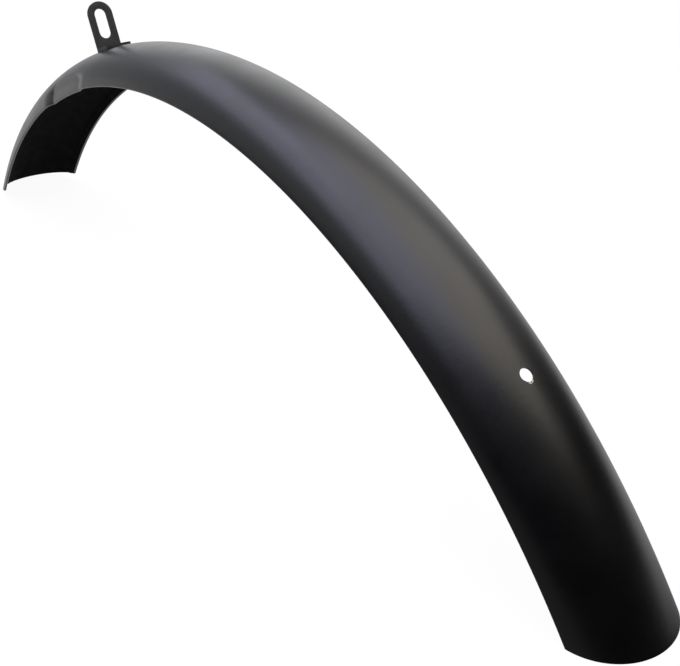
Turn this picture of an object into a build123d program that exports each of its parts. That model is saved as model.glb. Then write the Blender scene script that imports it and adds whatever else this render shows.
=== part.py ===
from build123d import *
import os
from math import acos, cos, degrees, hypot, radians, sin, tan

# Front mudguard of a bicycle, standing as an arch on its two ends. Millimetres, +Z up.
# X runs along the blade with the rear end at +X, Y runs across it, and the floor is Z = 0.
# Places on the arch are angles about the wheel's axle, from the top towards the rear end.

# Blade
crown_radius = 365.0  # outside of the crown, from the axle
arc_angle = 110.0  # between the two ends of the crown
blade_width = 55.0  # over the two sides
blade_depth = 19.0  # from the crown to the lowest point of the rims
side_angle = 79.5  # how far round its ellipse the section runs on each side
sheet = 0.8  # thickness of the steel
hem_width = 4.0  # the strip folded back inside each rim
front_cut_rise = 9.4  # slope of the front end's cut, from the floor

# Press for the fork, one in each side
press_place = -23.95  # its middle, on the arch
press_angle = 7.2  # its flat stretch along the arch
press_ramp = 1.6  # the slope at each end of it, along the arch
press_inset = 2.3  # how far the side is pushed in
press_top = 50.0  # where it starts, as an angle round the section's ellipse
press_clearance = 1.3  # between the end of its shoulder and the hem's edge, as such an angle
press_drop = 0.7  # how much lower the rim hangs there

# Hole for the stay
hole_place = 37.0  # on the arch
hole_diameter = 6.0

# Fork bracket
bracket_place = -20.25  # rear face of the tab, on the arch
bracket_width = 15.0
bracket_sheet = 1.2
tab_height = 27.4  # above the crown
tab_lean = 3.7  # towards the front end
bend_radius = 0.5  # inside the bend
foot_length = 15.5
foot_corner = 3.0  # radius of the two corners at the foot's tip
slot_width = 7.0
slot_length = 17.0
slot_height = 14.8  # middle of the slot, above the crown

# Values that follow from these
half_arc = arc_angle / 2
axle = (0, 0, -crown_radius * cos(radians(half_arc)))
axle_line = Axis(axle, (0, 1, 0))
end_reach = crown_radius * sin(radians(half_arc))
end_spare = degrees(blade_depth / crown_radius)
half_width = blade_width / 2
wall_depth = blade_depth - sheet
ellipse_across = half_width / sin(radians(side_angle))
ellipse_up = wall_depth / (1 - cos(radians(side_angle)))
ellipse_middle = crown_radius - ellipse_up
rim_run = hypot(ellipse_across * cos(radians(side_angle)), ellipse_up * sin(radians(side_angle)))
hem_angle = degrees(hem_width / rim_run)
press_full = side_angle - hem_angle - press_clearance
press_rim_rise = ellipse_up * cos(radians(side_angle)) - press_drop
press_side_angle = degrees(acos(press_rim_rise / (ellipse_up - press_inset)))
press_front = press_place - press_angle / 2
press_rear = press_place + press_angle / 2


def arch_plane(place, lean=0):
    """Plane square to the blade at a place on the arch, on the crown: x runs across, y outwards."""
    turn = radians(place)
    tilt = radians(place - lean)
    crown = (crown_radius * sin(turn), 0, axle[2] + crown_radius * cos(turn))
    return Plane(origin=crown, x_dir=(0, 1, 0), z_dir=(cos(tilt), 0, -sin(tilt)))


def section_plane(place):
    """The same plane with its origin on the axle, so that y is the distance from the axle."""
    plane = arch_plane(place)
    return Plane(origin=axle, x_dir=plane.x_dir, z_dir=plane.z_dir)


def on_ellipse(angle, inset):
    """Point at an angle from the crown on the section's ellipse, drawn smaller by an inset."""
    across = (ellipse_across - inset) * sin(radians(angle))
    up = (ellipse_up - inset) * cos(radians(angle))
    return (across, ellipse_middle + up)


def ellipse_arc(start, end, inset):
    """Stretch of that ellipse between two angles from the crown."""
    EllipticalCenterArc(
        (0, ellipse_middle),
        ellipse_across - inset,
        ellipse_up - inset,
        start_angle=90 - start,
        arc_size=start - end,
    )


def along_ellipse(angle, inset):
    """Direction of that ellipse at an angle, away from the crown, for each radian."""
    return ((ellipse_across - inset) * cos(radians(angle)), -(ellipse_up - inset) * sin(radians(angle)))


def shoulder_curve(inset, pressed_in):
    """Shoulder of the press, from the ellipse to the smaller ellipse pressed in, tangent to both."""
    start = on_ellipse(press_top, inset)
    end = on_ellipse(press_full, inset + pressed_in)
    third = radians(press_full - press_top) / 3
    start_along = along_ellipse(press_top, inset)
    end_along = along_ellipse(press_full, inset + pressed_in)
    Bezier(
        start,
        (start[0] + third * start_along[0], start[1] + third * start_along[1]),
        (end[0] - third * end_along[0], end[1] - third * end_along[1]),
        end,
    )


def rim_fold(outer, inner):
    """Half-round fold at the bottom of a side, between the sheet's outside and the inside of the hem."""
    middle = ((outer[0] + inner[0]) / 2, (outer[1] + inner[1]) / 2)
    lowest = (middle[0] + (outer[1] - inner[1]) / 2, middle[1] - (outer[0] - inner[0]) / 2)
    ThreePointArc(outer, lowest, inner)


def folded_side(pressed_in, rim):
    """One half of the section below the press's top: outside, fold, hem and inside."""
    outside = pressed_in
    inside = pressed_in + sheet
    hem = pressed_in + 2 * sheet
    hem_start = rim - hem_angle
    shoulder_curve(0, pressed_in)
    ellipse_arc(press_full, rim, outside)
    rim_fold(on_ellipse(rim, outside), on_ellipse(rim, hem))
    ellipse_arc(rim, hem_start, hem)
    Line(on_ellipse(hem_start, hem), on_ellipse(hem_start, inside))
    ellipse_arc(hem_start, press_full, inside)
    shoulder_curve(sheet, pressed_in)


def plain_side():
    folded_side(0, side_angle)


def pressed_side():
    folded_side(press_inset, press_side_angle)


def sheet_outline(draw_side):
    """Closed outline of the folded sheet: half of the crown and one side, mirrored."""
    ellipse_arc(0, press_top, 0)
    draw_side()
    ellipse_arc(press_top, 0, sheet)
    mirror(about=Plane.YZ)


# Blade: plain stretches to the front and the rear of the press, then the press and its two ramps
stretches = (
    (-half_arc - end_spare, press_front - press_ramp, plain_side),
    (press_front, press_rear, pressed_side),
    (press_rear + press_ramp, half_arc + end_spare, plain_side),
)
ramps = (
    ((press_front - press_ramp, plain_side), (press_front, pressed_side)),
    ((press_rear + press_ramp, plain_side), (press_rear, pressed_side)),
)
cut_turn = radians(front_cut_rise)
front_cut = Plane(
    origin=(-end_reach, 0, 0),
    x_dir=(cos(cut_turn), 0, sin(cut_turn)),
    z_dir=(-sin(cut_turn), 0, cos(cut_turn)),
)
rear_cut = Plane(origin=(end_reach, 0, 0))
hole_section = arch_plane(hole_place)
hole_plane = Plane(origin=hole_section.origin, x_dir=hole_section.x_dir, z_dir=hole_section.y_dir)
with BuildPart() as blade:
    for start, end, draw_side in stretches:
        with BuildSketch(section_plane(start)):
            with BuildLine():
                sheet_outline(draw_side)
            make_face()
        revolve(axis=axle_line, revolution_arc=end - start)
    for ramp in ramps:
        for place, draw_side in ramp:
            with BuildSketch(section_plane(place)):
                with BuildLine():
                    sheet_outline(draw_side)
                make_face()
        loft(ruled=True)
    for cut in (front_cut, rear_cut):
        with Locations(cut):
            Box(
                6 * blade_depth,
                2 * blade_width,
                4 * blade_depth,
                align=(Align.CENTER, Align.CENTER, Align.MAX),
                mode=Mode.SUBTRACT,
            )
    with Locations(hole_plane):
        Cylinder(hole_diameter / 2, blade_depth, mode=Mode.SUBTRACT)

# Fork bracket: a bent strip, its seat of weld, the round top of the tab and the slot
tab_turn = radians(tab_lean)
bend_corner = (-bracket_sheet * tan(tab_turn), bracket_sheet)
foot_tip = (foot_length, bracket_sheet)
seat_depth = bracket_width / 4  # reaches well below the crown under the whole foot
seat_angle = degrees(2 * foot_length / crown_radius)  # stretch of the crown to each side of the tab
seat_rise = bracket_sheet * (1 + sin(tab_turn)) / cos(tab_turn)  # up the tab, level with the foot's top
tab_top = (-tab_height * sin(tab_turn), tab_height * cos(tab_turn))
tab_plane = arch_plane(bracket_place, tab_lean)
crown_plane = arch_plane(bracket_place)
side_plane = Plane(origin=crown_plane.origin, x_dir=crown_plane.z_dir, z_dir=(0, -1, 0))


def on_tab_front(rise):
    """Point on the tab's front face, a distance up the tab."""
    along = -bracket_sheet * cos(tab_turn) - rise * sin(tab_turn)
    up = -bracket_sheet * sin(tab_turn) + rise * cos(tab_turn)
    return (along, up)


with BuildPart() as fork_bracket:
    with BuildSketch(side_plane):
        with BuildLine():
            FilletPolyline(foot_tip, bend_corner, tab_top, radius=bend_radius)
            offset(amount=bracket_sheet, side=Side.LEFT)
        make_face()
        with BuildLine():
            Polyline(
                foot_tip,
                (foot_length, -seat_depth),
                on_tab_front(-seat_depth),
                on_tab_front(seat_rise),
                close=True,
            )
        make_face()
    extrude(amount=bracket_width / 2, both=True)
    upright_edges = fork_bracket.edges().filter_by(Axis(crown_plane.origin, crown_plane.y_dir))
    tip_edges = upright_edges.sort_by(Axis(crown_plane.origin, crown_plane.z_dir))[-2:]
    fillet(tip_edges, foot_corner)
    with BuildSketch(tab_plane):
        with Locations((0, tab_height - 2 * foot_length)):
            SlotOverall(4 * foot_length, bracket_width, rotation=90)
    extrude(amount=2 * foot_length, both=True, mode=Mode.INTERSECT)
    with BuildSketch(tab_plane):
        with Locations((0, slot_height)):
            SlotOverall(slot_length, slot_width, rotation=90)
    extrude(amount=2 * bracket_sheet, both=True, mode=Mode.SUBTRACT)
    with BuildSketch(section_plane(bracket_place - seat_angle)):
        with BuildLine():
            ellipse_arc(-side_angle, side_angle, 0)
            Line(on_ellipse(side_angle, 0), on_ellipse(-side_angle, 0))
        make_face()
    revolve(axis=axle_line, revolution_arc=2 * seat_angle, mode=Mode.SUBTRACT)

os.makedirs("parts", exist_ok=True)
blade.part.label = "blade"
fork_bracket.part.label = "fork_bracket"
export_step(blade.part, "parts/blade.step")
export_step(fork_bracket.part, "parts/fork_bracket.step")
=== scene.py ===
import math

import bmesh
import bpy
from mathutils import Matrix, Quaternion, Vector


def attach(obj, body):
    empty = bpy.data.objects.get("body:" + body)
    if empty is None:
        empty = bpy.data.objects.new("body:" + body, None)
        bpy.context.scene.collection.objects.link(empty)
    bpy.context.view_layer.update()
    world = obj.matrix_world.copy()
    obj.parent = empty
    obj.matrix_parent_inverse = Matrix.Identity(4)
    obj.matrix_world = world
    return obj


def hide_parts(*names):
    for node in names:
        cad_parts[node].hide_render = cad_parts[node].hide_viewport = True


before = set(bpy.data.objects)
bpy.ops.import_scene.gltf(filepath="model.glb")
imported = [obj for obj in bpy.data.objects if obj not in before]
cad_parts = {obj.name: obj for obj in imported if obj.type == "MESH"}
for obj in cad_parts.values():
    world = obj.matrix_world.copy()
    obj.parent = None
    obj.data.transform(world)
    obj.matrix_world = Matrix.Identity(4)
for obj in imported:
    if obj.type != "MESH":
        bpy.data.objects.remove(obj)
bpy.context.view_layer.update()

# Sizes in metres and angles in degrees. The arch stands on the floor, with the wheel's axle below it.
# Places on the arch are angles about the axle, from the top towards the rear end at +X.
CROWN_RADIUS = 0.365
HALF_ARC = 55.0
HALF_WIDTH = 0.0275
BLADE_DEPTH = 0.019
SIDE_ANGLE = 79.5
SHEET = 0.0008
HEM_WIDTH = 0.004
FRONT_CUT_RISE = 9.4
REAR_CUT_RISE = 0.0

PRESS_PLACE = -23.95
PRESS_ANGLE = 7.2
PRESS_TAPER = 1.5
PRESS_RAMP = 2.2
PRESS_BEND = 0.12
PRESS_INSET = 0.0023
PRESS_TOP = 50.0
PRESS_CLEARANCE = 1.3
PRESS_DROP = 0.0007

HOLE_PLACE = 37.0
HOLE_RADIUS = 0.0030
WORN_RADIUS = 0.0020
WORN_SLOPE = 12.0
WORN_REARWARD = 0.00225
WORN_ASIDE = -0.0003

# Finish of the edges
BLADE_SHARP = 32.0
BRACKET_SHARP = 45.0
BRACKET_WELD = 1e-6
BRACKET_FLAT = 0.5
BEVEL_WIDTH = 0.00025
BEVEL_STEPS = 3
BEVEL_ANGLE = 40.0

# Studio
# Each lobe: heading and rise of its middle in degrees, cosines where it starts and is full, colour
BACKDROP_LOBES = (
    (175, 31.6, 0.09, 0.42, (0.43, 0.44, 0.467)),
    (140, 10.4, 0.79, 1.0, (1.09, 1.09, 1.08)),
)
DIM_ROOM = (0.004, 0.004, 0.005)
# Each soft box: name, place, size, turn about the upright in degrees, radiance, colour
SOFT_BOXES = (
    ("cool_soft_box", (-0.602, -0.483, 1.0), (2.02, 0.72), -33.8, 1.26, (0.94, 0.95, 1.24)),
    ("middle_soft_box", (0.009, -0.188, 1.02), (1.08, 0.54), -25, 1.52, (0.95, 0.96, 1.20)),
    ("warm_soft_box", (0.343, 0.528, 1.02), (1.08, 1.04), -25, 1.52, (1.08, 1.0, 0.91)),
)
FLOOR_SIZE = 12.0
FLOOR_HEADING = 114.6
FLOOR_DIM = -0.168
FLOOR_FULL = 0.039
FLOOR_GLOW = 0.95
FLOOR_REFLECTED = 0.79
FLOOR_DARK = 0.08
FLOOR_PALE = (0.85, 0.85, 0.85)
FLOOR_TINT = (0.08, 0.08, 0.08)
CAMERA_PLACE = (0.47671, -0.27303, 0.31084)
CAMERA_AIM = (0.05329, 0.03162, 0.01436)
CAMERA_ROLL = -0.797
CAMERA_LENS = 59.689
SENSOR_WIDTH = 36.0
CLIP_START = 0.01

# Values that follow from these
AXLE_DROP = CROWN_RADIUS * math.cos(math.radians(HALF_ARC))
END_REACH = CROWN_RADIUS * math.sin(math.radians(HALF_ARC))
WALL_DEPTH = BLADE_DEPTH - SHEET
ELLIPSE_ACROSS = HALF_WIDTH / math.sin(math.radians(SIDE_ANGLE))
ELLIPSE_UP = WALL_DEPTH / (1 - math.cos(math.radians(SIDE_ANGLE)))
ELLIPSE_MIDDLE = CROWN_RADIUS - ELLIPSE_UP
RIM_RUN = math.hypot(
    ELLIPSE_ACROSS * math.cos(math.radians(SIDE_ANGLE)),
    ELLIPSE_UP * math.sin(math.radians(SIDE_ANGLE)),
)
HEM_ANGLE = math.degrees(HEM_WIDTH / RIM_RUN)
PRESS_FULL = SIDE_ANGLE - HEM_ANGLE - PRESS_CLEARANCE
PRESS_RIM_RISE = ELLIPSE_UP * math.cos(math.radians(SIDE_ANGLE)) - PRESS_DROP
PRESS_SIDE_ANGLE = math.degrees(math.acos(PRESS_RIM_RISE / (ELLIPSE_UP - PRESS_INSET)))

# Steps of the section's mesh on each stretch of one side
CROWN_STEPS = 16
SHOULDER_STEPS = 12
WALL_STEPS = 10
FOLD_STEPS = 8
HEM_STEPS = 5
HEM_END_STEPS = 2
INNER_WALL_STEPS = 6
INNER_SHOULDER_STEPS = 8
INNER_CROWN_STEPS = 12
INSIDE_START = CROWN_STEPS + SHOULDER_STEPS + WALL_STEPS + FOLD_STEPS


# Shape of the blade

def mix(a, b, share):
    """Point or number part of the way from a to b."""
    if isinstance(a, tuple):
        return tuple(mix(p, q, share) for p, q in zip(a, b))
    return a + (b - a) * share


def on_ellipse(angle, inset):
    """Point at an angle from the crown on the section's ellipse, drawn smaller by an inset."""
    turn = math.radians(angle)
    return (
        (ELLIPSE_ACROSS - inset) * math.sin(turn),
        ELLIPSE_MIDDLE + (ELLIPSE_UP - inset) * math.cos(turn),
    )


def on_sheet(angle, inset, pressed_in):
    """The same point where the side is pressed in: in full below the shoulder, not at all above it."""
    share = min(max((angle - PRESS_TOP) / (PRESS_FULL - PRESS_TOP), 0.0), 1.0)
    return on_ellipse(angle, inset + pressed_in * share * share * (3 - 2 * share))


def sheet_run(start, end, inset, pressed_in, count):
    """Points along the sheet, without the last one."""
    return [on_sheet(mix(start, end, i / count), inset, pressed_in) for i in range(count)]


def line_run(start, end, count):
    """Points along a straight line, without the last one."""
    return [mix(start, end, i / count) for i in range(count)]


def fold_run(outer, inner, count):
    """Points round the half-round fold of a rim, without the last one."""
    middle = mix(outer, inner, 0.5)
    arm = ((outer[0] - inner[0]) / 2, (outer[1] - inner[1]) / 2)
    points = []
    for i in range(count):
        turn = math.pi * i / count
        points.append((
            middle[0] + arm[0] * math.cos(turn) + arm[1] * math.sin(turn),
            middle[1] + arm[1] * math.cos(turn) - arm[0] * math.sin(turn),
        ))
    return points


def half_section(pressed_in, rim):
    """Half of the section, from the crown's outside round the folded rim to the crown's inside."""
    hem = rim - HEM_ANGLE
    points = sheet_run(0, PRESS_TOP, 0, pressed_in, CROWN_STEPS)
    points += sheet_run(PRESS_TOP, PRESS_FULL, 0, pressed_in, SHOULDER_STEPS)
    points += sheet_run(PRESS_FULL, rim, 0, pressed_in, WALL_STEPS)
    points += fold_run(on_sheet(rim, 0, pressed_in), on_sheet(rim, 2 * SHEET, pressed_in), FOLD_STEPS)
    points += sheet_run(rim, hem, 2 * SHEET, pressed_in, HEM_STEPS)
    hem_end = on_sheet(hem, 2 * SHEET, pressed_in)
    points += line_run(hem_end, on_sheet(hem, SHEET, pressed_in), HEM_END_STEPS)
    points += sheet_run(hem, PRESS_FULL, SHEET, pressed_in, INNER_WALL_STEPS)
    points += sheet_run(PRESS_FULL, PRESS_TOP, SHEET, pressed_in, INNER_SHOULDER_STEPS)
    points += sheet_run(PRESS_TOP, 0, SHEET, pressed_in, INNER_CROWN_STEPS)
    return points + [on_sheet(0, SHEET, pressed_in)]


def whole_section(side):
    """Closed section from one half: the half itself and its mirror image, back to the start."""
    mirrored = [(-across, out) for across, out in side[-2:0:-1]]
    return side + mirrored


def press_share(place, depth):
    """1 in the flat of the press, 0 outside it, for a point pushed in by a share of the full depth.

    The flat is longest at the rim. A long roll leads into it and ends in a tight bend.
    """
    half_flat = PRESS_ANGLE / 2 - PRESS_TAPER * (1 - depth) ** 2
    left = min(max((abs(place - PRESS_PLACE) - half_flat) / PRESS_RAMP, 0.0), 1.0)
    if left < PRESS_BEND:
        return 1 - left * left / PRESS_BEND
    return (1 - left) ** 2 / (1 - PRESS_BEND)


def end_angle(radius, rise):
    """Angle on the arch at which a circle about the axle meets an end's cut."""
    turn = math.radians(rise)
    level = AXLE_DROP * math.cos(turn) + END_REACH * math.sin(turn)
    return rise + math.degrees(math.acos(level / radius))


def cut_place(place, radius):
    """Place on the arch of a point of the section, drawn back near the ends to meet the cuts."""
    straight = 40.0
    if abs(place) <= straight:
        return place
    rise = REAR_CUT_RISE if place > 0 else FRONT_CUT_RISE
    share = (abs(place) - straight) / (HALF_ARC - straight)
    return math.copysign(mix(straight, end_angle(radius, rise), share), place)


def arch_point(place, across, radius):
    """Point of the part from its place on the arch, its distance across and its distance from the axle."""
    turn = math.radians(place)
    return Vector((radius * math.sin(turn), across, radius * math.cos(turn) - AXLE_DROP))


def stations():
    """Places of the sections along the arch, close together at the press."""
    wide_step = 0.55
    fine_step = 0.1
    reach = PRESS_ANGLE / 2 + PRESS_RAMP + wide_step
    places = [-HALF_ARC + i * wide_step for i in range(round(2 * HALF_ARC / wide_step) + 1)]
    places = [place for place in places if abs(place - PRESS_PLACE) > reach]
    places += [PRESS_PLACE - reach + i * fine_step for i in range(round(2 * reach / fine_step) + 1)]
    return sorted(places)


def new_object(name, mesh):
    """Object with a mesh, in the scene."""
    made = bpy.data.objects.new(name, mesh)
    bpy.context.scene.collection.objects.link(made)
    return made


def blade_mesh():
    """Closed mesh of the folded sheet, swept along the arch."""
    plain = whole_section(half_section(0, SIDE_ANGLE))
    pressed = whole_section(half_section(PRESS_INSET, PRESS_SIDE_ANGLE))
    pushes = [math.dist(*points) for points in zip(plain, pressed)]
    depths = [push / max(pushes) for push in pushes]
    shape = bmesh.new()
    loops = []
    for place in stations():
        loop = []
        for plain_point, pressed_point, depth in zip(plain, pressed, depths):
            across, radius = mix(plain_point, pressed_point, press_share(place, depth))
            loop.append(shape.verts.new(arch_point(cut_place(place, radius), across, radius)))
        loops.append(loop)
    count = len(plain)
    for first, second in zip(loops, loops[1:]):
        for i in range(count):
            j = (i + 1) % count
            face = shape.faces.new((first[i], first[j], second[j], second[i]))
            face.material_index = int(INSIDE_START <= i < count - INSIDE_START)
    shape.faces.new(loops[0])
    shape.faces.new(loops[-1])
    bmesh.ops.recalc_face_normals(shape, faces=shape.faces)
    mesh = bpy.data.meshes.new("blade_sheet")
    shape.to_mesh(mesh)
    shape.free()
    return mesh


def turned_cutter(name, profile, rearward, aside):
    """Round cutter from radii and heights above the crown, set off from the stay hole's axis."""
    sides = 64
    shape = bmesh.new()
    rings = []
    for radius, height in profile:
        ring = []
        for i in range(sides):
            turn = 2 * math.pi * i / sides
            ring.append(shape.verts.new((
                rearward + radius * math.cos(turn),
                aside + radius * math.sin(turn),
                height,
            )))
        rings.append(ring)
    for first, second in zip(rings, rings[1:]):
        for i in range(sides):
            j = (i + 1) % sides
            shape.faces.new((first[i], first[j], second[j], second[i]))
    shape.faces.new(rings[0])
    shape.faces.new(rings[-1])
    bmesh.ops.recalc_face_normals(shape, faces=shape.faces)
    mesh = bpy.data.meshes.new(name)
    shape.to_mesh(mesh)
    shape.free()
    cutter = new_object(name, mesh)
    cutter.rotation_euler = (0, math.radians(HOLE_PLACE), 0)
    cutter.location = arch_point(HOLE_PLACE, 0, CROWN_RADIUS)
    return cutter


def stay_drill():
    """Straight drill for the stay hole."""
    reach = 2 * HOLE_RADIUS
    return turned_cutter("stay_drill", ((HOLE_RADIUS, -reach), (HOLE_RADIUS, reach)), 0, 0)


def worn_edge_cutter():
    """Shallow cone that wears the paint and the hole's edge away on its rear side."""
    slope = math.tan(math.radians(WORN_SLOPE))
    depth = WORN_RADIUS + WORN_REARWARD - HOLE_RADIUS
    profile = (
        (WORN_RADIUS - depth, -depth * slope),
        (WORN_RADIUS + depth, depth * slope),
    )
    return turned_cutter("worn_edge_cutter", profile, WORN_REARWARD, WORN_ASIDE)


def cut_away(piece, cutter, material):
    """Cuts a cutter out of a piece and gives the cut faces a material."""
    cutter.data.materials.append(material)
    cut = piece.modifiers.new(cutter.name, "BOOLEAN")
    cut.object = cutter
    cut.solver = "EXACT"
    cut.material_mode = "TRANSFER"
    keep_modified(piece)
    bpy.data.objects.remove(cutter)


def sharpen_edge(mesh, material):
    """Makes the edge around a material's faces sharp."""
    index = mesh.materials.find(material.name)
    shape = bmesh.new()
    shape.from_mesh(mesh)
    for edge in shape.edges:
        inside = [face.material_index == index for face in edge.link_faces]
        if any(inside) and not all(inside):
            edge.smooth = False
    shape.to_mesh(mesh)
    shape.free()


def keep_modified(piece):
    """Makes the result of a piece's modifiers its own mesh."""
    bpy.context.view_layer.update()
    graph = bpy.context.evaluated_depsgraph_get()
    made = bpy.data.meshes.new_from_object(piece.evaluated_get(graph))
    piece.modifiers.clear()
    piece.data = made


# Shape of the bracket

def bracket_mesh():
    """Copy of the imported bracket's mesh, without a material and with its flat faces whole again."""
    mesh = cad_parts["fork_bracket"].data.copy()
    shape = bmesh.new()
    shape.from_mesh(mesh)
    bmesh.ops.remove_doubles(shape, verts=shape.verts, dist=BRACKET_WELD)
    flat = math.radians(BRACKET_FLAT)
    bmesh.ops.dissolve_limit(shape, angle_limit=flat, verts=shape.verts, edges=shape.edges)
    shape.to_mesh(mesh)
    shape.free()
    mesh.materials.clear()
    return mesh


def round_edges(piece):
    """Rounds a piece's sharp edges."""
    rounding = piece.modifiers.new("rounding", "BEVEL")
    rounding.width = BEVEL_WIDTH
    rounding.segments = BEVEL_STEPS
    rounding.limit_method = "ANGLE"
    rounding.angle_limit = math.radians(BEVEL_ANGLE)
    keep_modified(piece)


# Materials

def noise(tree, place, scale, detail):
    """Noise over the object's own coordinates; scale is in waves to the metre."""
    node = tree.nodes.new("ShaderNodeTexNoise")
    node.inputs["Scale"].default_value = scale
    node.inputs["Detail"].default_value = detail
    tree.links.new(place, node.inputs["Vector"])
    return node.outputs["Fac"]


def ranged(tree, value, low, high, start=0.3, end=0.7):
    """The value's middle range spread from low to high."""
    node = tree.nodes.new("ShaderNodeMapRange")
    node.inputs["From Min"].default_value = start
    node.inputs["From Max"].default_value = end
    node.inputs["To Min"].default_value = low
    node.inputs["To Max"].default_value = high
    tree.links.new(value, node.inputs["Value"])
    return node.outputs["Result"]


def blended(tree, share, first, second):
    """Colour between two colours."""
    node = tree.nodes.new("ShaderNodeMix")
    node.data_type = "RGBA"
    node.inputs["A"].default_value = (*first, 1)
    node.inputs["B"].default_value = (*second, 1)
    tree.links.new(share, node.inputs["Factor"])
    return node.outputs["Result"]


def bumped(tree, height, strength, distance, normal=None):
    """Normal raised by a height."""
    node = tree.nodes.new("ShaderNodeBump")
    node.inputs["Strength"].default_value = strength
    node.inputs["Distance"].default_value = distance
    tree.links.new(height, node.inputs["Height"])
    if normal is not None:
        tree.links.new(normal, node.inputs["Normal"])
    return node.outputs["Normal"]


def new_material(name):
    """Material with an empty node tree, its tree, its shader and the object's own coordinates."""
    material = bpy.data.materials.new(name)
    material.use_nodes = True
    tree = material.node_tree
    tree.nodes.clear()
    output = tree.nodes.new("ShaderNodeOutputMaterial")
    shader = tree.nodes.new("ShaderNodeBsdfPrincipled")
    tree.links.new(shader.outputs["BSDF"], output.inputs["Surface"])
    place = tree.nodes.new("ShaderNodeTexCoord").outputs["Object"]
    return material, tree, shader, place


def black_paint(name):
    """Satin black paint with a fine grain."""
    material, tree, shader, place = new_material(name)
    shader.inputs["Specular IOR Level"].default_value = 0.75
    cold = (0.0010, 0.0010, 0.0013)
    warm = (0.0016, 0.0014, 0.0013)
    cloud = noise(tree, place, scale=22, detail=2)
    colour = blended(tree, ranged(tree, cloud, low=0, high=1), cold, warm)
    tree.links.new(colour, shader.inputs["Base Color"])
    smudge = noise(tree, place, scale=55, detail=3)
    tree.links.new(ranged(tree, smudge, low=0.315, high=0.365), shader.inputs["Roughness"])
    peel = bumped(tree, noise(tree, place, scale=420, detail=1), strength=0.14, distance=0.0002)
    speckle = noise(tree, place, scale=2600, detail=1)
    grain = bumped(tree, speckle, strength=0.35, distance=0.00008, normal=peel)
    tree.links.new(grain, shader.inputs["Normal"])
    return material


def matt_black(name, level, dark, light, rough):
    """Matt black coat, even and a little dusty."""
    material, tree, shader, place = new_material(name)
    shader.inputs["Specular IOR Level"].default_value = level
    cloud = noise(tree, place, scale=60, detail=3)
    colour = blended(tree, ranged(tree, cloud, low=0, high=1), dark, light)
    tree.links.new(colour, shader.inputs["Base Color"])
    spread = 0.05
    smudge = noise(tree, place, scale=140, detail=2)
    tree.links.new(ranged(tree, smudge, rough - spread, rough + spread), shader.inputs["Roughness"])
    grain = bumped(tree, noise(tree, place, scale=1800, detail=2), strength=0.3, distance=0.0001)
    tree.links.new(grain, shader.inputs["Normal"])
    return material


def bare_steel(name):
    """Drilled steel at the edge of the hole."""
    material, tree, shader, place = new_material(name)
    shader.inputs["Metallic"].default_value = 1.0
    dull = (0.10, 0.095, 0.09)
    bright = (0.42, 0.41, 0.40)
    scratches = ranged(tree, noise(tree, place, scale=900, detail=2), low=0, high=1, start=0.42, end=0.58)
    tree.links.new(blended(tree, scratches, dull, bright), shader.inputs["Base Color"])
    smudge = noise(tree, place, scale=1500, detail=2)
    tree.links.new(ranged(tree, smudge, low=0.3, high=0.5), shader.inputs["Roughness"])
    grain = bumped(tree, noise(tree, place, scale=4000, detail=1), strength=0.2, distance=0.00005)
    tree.links.new(grain, shader.inputs["Normal"])
    return material


# Pieces

paint = black_paint("blade_black_paint")
inside_coat = matt_black(
    "inside_black_coat",
    level=0.06,
    dark=(0.0030, 0.0029, 0.0030),
    light=(0.0050, 0.0046, 0.0044),
    rough=0.85,
)
# The bracket's colours are a grey many times lighter than the blade's black. The paint is the same black,
# and the rest of that grey is painted light, standing in for the light the tab catches.
bracket_paint_and_light = matt_black(
    "bracket_black_paint_and_painted_light",
    level=0.4,
    dark=(0.037, 0.039, 0.039),
    light=(0.045, 0.047, 0.046),
    rough=0.55,
)
steel = bare_steel("drilled_steel")

blade = new_object("blade_sheet", blade_mesh())
blade.data.materials.append(paint)
blade.data.materials.append(inside_coat)
cut_away(blade, stay_drill(), paint)
cut_away(blade, worn_edge_cutter(), steel)
blade.data.shade_smooth()
blade.data.set_sharp_from_angle(angle=math.radians(BLADE_SHARP))
sharpen_edge(blade.data, steel)
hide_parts("blade")
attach(blade, "root")

bracket = new_object("fork_bracket_strip", bracket_mesh())
bracket.data.materials.append(bracket_paint_and_light)
round_edges(bracket)
bracket.data.shade_smooth()
bracket.data.set_sharp_from_angle(angle=math.radians(BRACKET_SHARP))
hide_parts("fork_bracket")
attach(bracket, "root")


# Studio

def math_node(tree, operation, *values):
    """Result of a calculation on numbers and outputs."""
    node = tree.nodes.new("ShaderNodeMath")
    node.operation = operation
    for socket, value in zip(node.inputs, values):
        if isinstance(value, (int, float)):
            socket.default_value = value
        else:
            tree.links.new(value, socket)
    return node.outputs["Value"]


def facing_share(tree, direction, heading, rise, start, end):
    """0 to 1 by how far a direction or place lies along a heading, from one value to another."""
    facing = tree.nodes.new("ShaderNodeVectorMath")
    facing.operation = "DOT_PRODUCT"
    turn = math.radians(heading)
    lift = math.radians(rise)
    facing.inputs[1].default_value = (
        math.cos(turn) * math.cos(lift),
        math.sin(turn) * math.cos(lift),
        math.sin(lift),
    )
    tree.links.new(direction, facing.inputs[0])
    spread = tree.nodes.new("ShaderNodeMapRange")
    spread.interpolation_type = "SMOOTHSTEP"
    spread.inputs["From Min"].default_value = start
    spread.inputs["From Max"].default_value = end
    tree.links.new(facing.outputs["Value"], spread.inputs["Value"])
    return spread.outputs["Result"]


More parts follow.
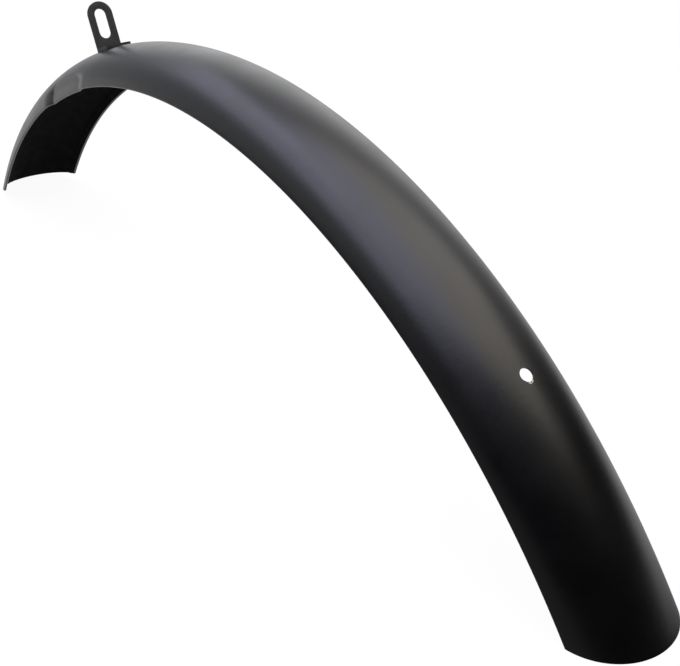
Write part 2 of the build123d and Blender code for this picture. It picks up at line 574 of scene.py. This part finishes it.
def floor_material():
    """White floor that keeps the object's shadow; its reflection fades out towards the dim room in front."""
    material = bpy.data.materials.new("studio_floor")
    material.use_nodes = True
    tree = material.node_tree
    tree.nodes.clear()
    output = tree.nodes.new("ShaderNodeOutputMaterial")
    rays = tree.nodes.new("ShaderNodeLightPath").outputs
    place = tree.nodes.new("ShaderNodeTexCoord").outputs["Object"]
    pale = tree.nodes.new("ShaderNodeBsdfDiffuse")
    pale.inputs["Color"].default_value = (*FLOOR_PALE, 1)
    near = facing_share(tree, place, FLOOR_HEADING, 0, FLOOR_DIM, FLOOR_FULL)
    faded = math_node(tree, "MULTIPLY_ADD", near, FLOOR_REFLECTED - FLOOR_DARK, FLOOR_DARK)
    glow = tree.nodes.new("ShaderNodeEmission")
    kept = math_node(tree, "MULTIPLY", rays["Is Camera Ray"], FLOOR_GLOW)
    tree.links.new(math_node(tree, "MAXIMUM", kept, faded), glow.inputs["Strength"])
    tint = tree.nodes.new("ShaderNodeBsdfDiffuse")
    tint.inputs["Color"].default_value = (*FLOOR_TINT, 1)
    shown = tree.nodes.new("ShaderNodeAddShader")
    tree.links.new(glow.outputs["Emission"], shown.inputs[0])
    tree.links.new(tint.outputs["BSDF"], shown.inputs[1])
    seen = math_node(tree, "MAXIMUM", rays["Is Camera Ray"], rays["Is Glossy Ray"])
    seen = math_node(tree, "MAXIMUM", seen, rays["Is Transmission Ray"])
    choice = tree.nodes.new("ShaderNodeMixShader")
    tree.links.new(seen, choice.inputs["Fac"])
    tree.links.new(pale.outputs["BSDF"], choice.inputs[1])
    tree.links.new(shown.outputs["Shader"], choice.inputs[2])
    tree.links.new(choice.outputs["Shader"], output.inputs["Surface"])
    return material


def studio_floor():
    """Large flat floor at the foot of the arch."""
    shape = bmesh.new()
    bmesh.ops.create_grid(shape, x_segments=1, y_segments=1, size=FLOOR_SIZE)
    mesh = bpy.data.meshes.new("studio_floor")
    shape.to_mesh(mesh)
    shape.free()
    mesh.materials.append(floor_material())
    floor = new_object("studio_floor", mesh)


def studio_world():
    """Pale backdrop behind the object and a dark room behind the camera."""
    world = bpy.data.worlds.new("studio")
    bpy.context.scene.world = world
    world.use_nodes = True
    tree = world.node_tree
    background = tree.nodes["Background"]
    background.inputs["Strength"].default_value = 1
    direction = tree.nodes.new("ShaderNodeTexCoord").outputs["Generated"]
    colour = None
    for heading, rise, start, end, tint in BACKDROP_LOBES:
        share = facing_share(tree, direction, heading, rise, start, end)
        added = tree.nodes.new("ShaderNodeVectorMath")
        added.operation = "MULTIPLY_ADD"
        added.inputs[1].default_value = tint
        added.inputs[2].default_value = DIM_ROOM
        tree.links.new(share, added.inputs[0])
        if colour is not None:
            tree.links.new(colour, added.inputs[2])
        colour = added.outputs["Vector"]
    tree.links.new(colour, background.inputs["Color"])


def soft_box(name, place, size, turn, radiance, colour):
    """Rectangular lamp that shines straight down, turned about the upright."""
    lamp = bpy.data.lights.new(name, "AREA")
    lamp.shape = "RECTANGLE"
    lamp.size, lamp.size_y = size
    lamp.energy = radiance * math.pi * size[0] * size[1]
    lamp.color = colour
    made = bpy.data.objects.new(name, lamp)
    made.location = place
    made.rotation_euler = (0, 0, math.radians(turn))
    bpy.context.scene.collection.objects.link(made)


def studio_camera():
    """Camera at the photograph's place."""
    lens = bpy.data.cameras.new("camera")
    lens.sensor_fit = "HORIZONTAL"
    lens.sensor_width = SENSOR_WIDTH
    lens.lens = CAMERA_LENS
    lens.clip_start = CLIP_START
    camera = bpy.data.objects.new("camera", lens)
    look = Vector(CAMERA_AIM) - Vector(CAMERA_PLACE)
    roll = Quaternion((0, 0, 1), math.radians(CAMERA_ROLL))
    camera.rotation_mode = "QUATERNION"
    camera.rotation_quaternion = look.to_track_quat("-Z", "Y") @ roll
    camera.location = CAMERA_PLACE
    bpy.context.scene.collection.objects.link(camera)
    bpy.context.scene.camera = camera


studio_floor()
studio_world()
for box in SOFT_BOXES:
    soft_box(*box)
studio_camera()
bpy.context.scene.view_settings.view_transform = "Standard"
